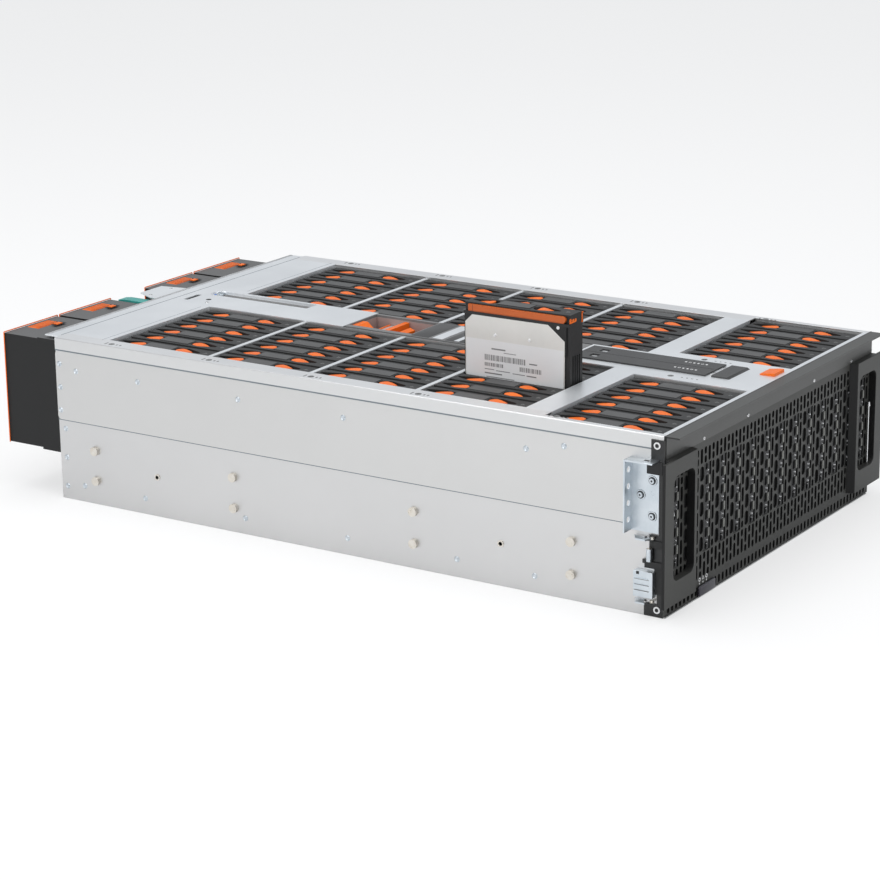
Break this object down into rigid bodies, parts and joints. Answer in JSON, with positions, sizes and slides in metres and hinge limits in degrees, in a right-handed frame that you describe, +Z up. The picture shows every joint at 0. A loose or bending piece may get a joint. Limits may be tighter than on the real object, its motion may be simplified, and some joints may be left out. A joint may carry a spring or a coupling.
{
  "type": "disk shelf enclosure",
  "caption": "Rack disk shelf with rows of upright drives under a top opening, a perforated front with handle ears, and pull-out fans and power supplies behind.",
  "frame": {"origin": "middle of the object on the underside of the base pan", "axes": "+X to the right seen from the front, +Y from the front to the rear, +Z up"},
  "size_m": [0.477, 0.807, 0.2447],
  "materials": {
    "light_steel": "satin, light grey zinc look",
    "black_steel": "matt black powder coat",
    "dark_plastic": "fine grained",
    "orange_plastic": "smooth",
    "teal_plastic": "smooth",
    "zinc": "bright zinc plate",
    "module_steel": "satin",
    "disk_metal": "satin",
    "board": "coated board"
  },
  "bodies": {
    "chassis": {"base_pan": "light_steel", "side_panel_left": "light_steel", "side_panel_right": "light_steel", "top_rail_left": "light_steel", "top_rail_right": "light_steel", "rear_deck": "light_steel", "rear_frame": "light_steel", "mid_brace": "light_steel", "row_walls": "light_steel", "bay_side_walls": "light_steel", "spine_deck": "light_steel", "spine_covers": "dark_plastic", "front_release_tab": "orange_plastic", "fascia": "black_steel", "front_band": "black_steel", "inner_grille": "black_steel", "ear_left": "black_steel", "ear_right": "black_steel", "rail_bracket_left": "zinc", "rail_bracket_right": "zinc", "rail_studs": "zinc", "screws": "zinc", "baseboard": "board", "lamp_tab": "dark_plastic"},
    "raised_drive": {"raised_carrier": "dark_plastic", "raised_disk": "disk_metal", "raised_face_plate": "disk_metal"},
    "latch_bar": {"raised_latch_bar": "orange_plastic"},
    "expander": {"expander_module": "dark_plastic", "expander_levers": "orange_plastic"},
    "rail_latch_left": {"rail_latch_left": "zinc"},
    "rail_latch_right": {"rail_latch_right": "zinc"},
    "io_left": {"io_module_left": "module_steel"},
    "io_right": {"io_module_right": "module_steel"},
    "psu_upper": {"psu_upper": "module_steel"},
    "psu_lower": {"psu_lower": "module_steel"},
    "psu_upper_latch": {"psu_upper_latch": "teal_plastic"},
    "psu_lower_latch": {"psu_lower_latch": "teal_plastic"},
    "row_1": {"row_1_carriers": "dark_plastic", "row_1_levers": "orange_plastic"},
    "row_2": {"row_2_carriers": "dark_plastic", "row_2_levers": "orange_plastic"},
    "row_3": {"row_3_carriers": "dark_plastic", "row_3_levers": "orange_plastic"},
    "row_4": {"row_4_carriers": "dark_plastic", "row_4_levers": "orange_plastic"},
    "row_5": {"row_5_carriers": "dark_plastic", "row_5_levers": "orange_plastic"},
    "fan_1": {"fan_1_housing": "dark_plastic"},
    "fan_1_rotor": {"fan_1_rotor": "dark_plastic"},
    "fan_1_latch": {"fan_1_latch": "orange_plastic"},
    "fan_2": {"fan_2_housing": "dark_plastic"},
    "fan_2_rotor": {"fan_2_rotor": "dark_plastic"},
    "fan_2_latch": {"fan_2_latch": "orange_plastic"},
    "fan_3": {"fan_3_housing": "dark_plastic"},
    "fan_3_rotor": {"fan_3_rotor": "dark_plastic"},
    "fan_3_latch": {"fan_3_latch": "orange_plastic"},
    "fan_4": {"fan_4_housing": "dark_plastic"},
    "fan_4_rotor": {"fan_4_rotor": "dark_plastic"},
    "fan_4_latch": {"fan_4_latch": "orange_plastic"}
  },
  "joints": [
    {"name": "row_1_lift", "type": "slide", "parent": "chassis", "child": "row_1", "axis": [0, 0, 1], "range_m": [0, 0.165]},
    {"name": "row_2_lift", "type": "slide", "parent": "chassis", "child": "row_2", "axis": [0, 0, 1], "range_m": [0, 0.165]},
    {"name": "row_3_lift", "type": "slide", "parent": "chassis", "child": "row_3", "axis": [0, 0, 1], "range_m": [0, 0.165]},
    {"name": "row_4_lift", "type": "slide", "parent": "chassis", "child": "row_4", "axis": [0, 0, 1], "range_m": [0, 0.165]},
    {"name": "row_5_lift", "type": "slide", "parent": "chassis", "child": "row_5", "axis": [0, 0, 1], "range_m": [0, 0.165]},
    {"name": "raised_drive_lift", "type": "slide", "parent": "chassis", "child": "raised_drive", "axis": [0, 0, 1], "range_m": [-0.072, 0.11]},
    {"name": "latch_bar_slide", "type": "slide", "parent": "raised_drive", "child": "latch_bar", "axis": [0, -1, 0], "range_m": [0, 0.004], "stiffness_N_per_m": 500, "springref_m": -0.004},
    {"name": "fan_1_pull", "type": "slide", "parent": "chassis", "child": "fan_1", "axis": [0, 1, 0], "range_m": [0, 0.135]},
    {"name": "fan_1_spin", "type": "hinge", "parent": "fan_1", "child": "fan_1_rotor", "pos_m": [-0.1773, 0.3785, 0.11], "axis": [0, 1, 0], "continuous": true},
    {"name": "fan_1_latch_press", "type": "slide", "parent": "fan_1", "child": "fan_1_latch", "axis": [0, 0, -1], "range_m": [0, 0.003], "stiffness_N_per_m": 400, "springref_m": -0.003},
    {"name": "fan_2_pull", "type": "slide", "parent": "chassis", "child": "fan_2", "axis": [0, 1, 0], "range_m": [0, 0.135]},
    {"name": "fan_2_spin", "type": "hinge", "parent": "fan_2", "child": "fan_2_rotor", "pos_m": [-0.0877, 0.3785, 0.11], "axis": [0, 1, 0], "continuous": true},
    {"name": "fan_2_latch_press", "type": "slide", "parent": "fan_2", "child": "fan_2_latch", "axis": [0, 0, -1], "range_m": [0, 0.003], "stiffness_N_per_m": 400, "springref_m": -0.003},
    {"name": "fan_3_pull", "type": "slide", "parent": "chassis", "child": "fan_3", "axis": [0, 1, 0], "range_m": [0, 0.135]},
    {"name": "fan_3_spin", "type": "hinge", "parent": "fan_3", "child": "fan_3_rotor", "pos_m": [0.0585, 0.3785, 0.11], "axis": [0, 1, 0], "continuous": true},
    {"name": "fan_3_latch_press", "type": "slide", "parent": "fan_3", "child": "fan_3_latch", "axis": [0, 0, -1], "range_m": [0, 0.003], "stiffness_N_per_m": 400, "springref_m": -0.003},
    {"name": "fan_4_pull", "type": "slide", "parent": "chassis", "child": "fan_4", "axis": [0, 1, 0], "range_m": [0, 0.135]},
    {"name": "fan_4_spin", "type": "hinge", "parent": "fan_4", "child": "fan_4_rotor", "pos_m": [0.1481, 0.3785, 0.11], "axis": [0, 1, 0], "continuous": true},
    {"name": "fan_4_latch_press", "type": "slide", "parent": "fan_4", "child": "fan_4_latch", "axis": [0, 0, -1], "range_m": [0, 0.003], "stiffness_N_per_m": 400, "springref_m": -0.003},
    {"name": "psu_upper_pull", "type": "slide", "parent": "chassis", "child": "psu_upper", "axis": [0, 1, 0], "range_m": [0, 0.09]},
    {"name": "psu_upper_latch_push", "type": "slide", "parent": "psu_upper", "child": "psu_upper_latch", "axis": [1, 0, 0], "range_m": [0, 0.003], "stiffness_N_per_m": 400, "springref_m": -0.003},
    {"name": "psu_lower_pull", "type": "slide", "parent": "chassis", "child": "psu_lower", "axis": [0, 1, 0], "range_m": [0, 0.09]},
    {"name": "psu_lower_latch_push", "type": "slide", "parent": "psu_lower", "child": "psu_lower_latch", "axis": [1, 0, 0], "range_m": [0, 0.003], "stiffness_N_per_m": 400, "springref_m": -0.003},
    {"name": "io_left_pull", "type": "slide", "parent": "chassis", "child": "io_left", "axis": [0, 1, 0], "range_m": [0, 0.06]},
    {"name": "io_right_pull", "type": "slide", "parent": "chassis", "child": "io_right", "axis": [0, 1, 0], "range_m": [0, 0.06]},
    {"name": "expander_lift", "type": "slide", "parent": "chassis", "child": "expander", "axis": [0, 0, 1], "range_m": [0, 0.17]},
    {"name": "rail_latch_left_slide", "type": "slide", "parent": "chassis", "child": "rail_latch_left", "axis": [0, 1, 0], "range_m": [0, 0.004], "stiffness_N_per_m": 800, "springref_m": -0.004},
    {"name": "rail_latch_right_slide", "type": "slide", "parent": "chassis", "child": "rail_latch_right", "axis": [0, 1, 0], "range_m": [0, 0.004], "stiffness_N_per_m": 800, "springref_m": -0.004}
  ]
}
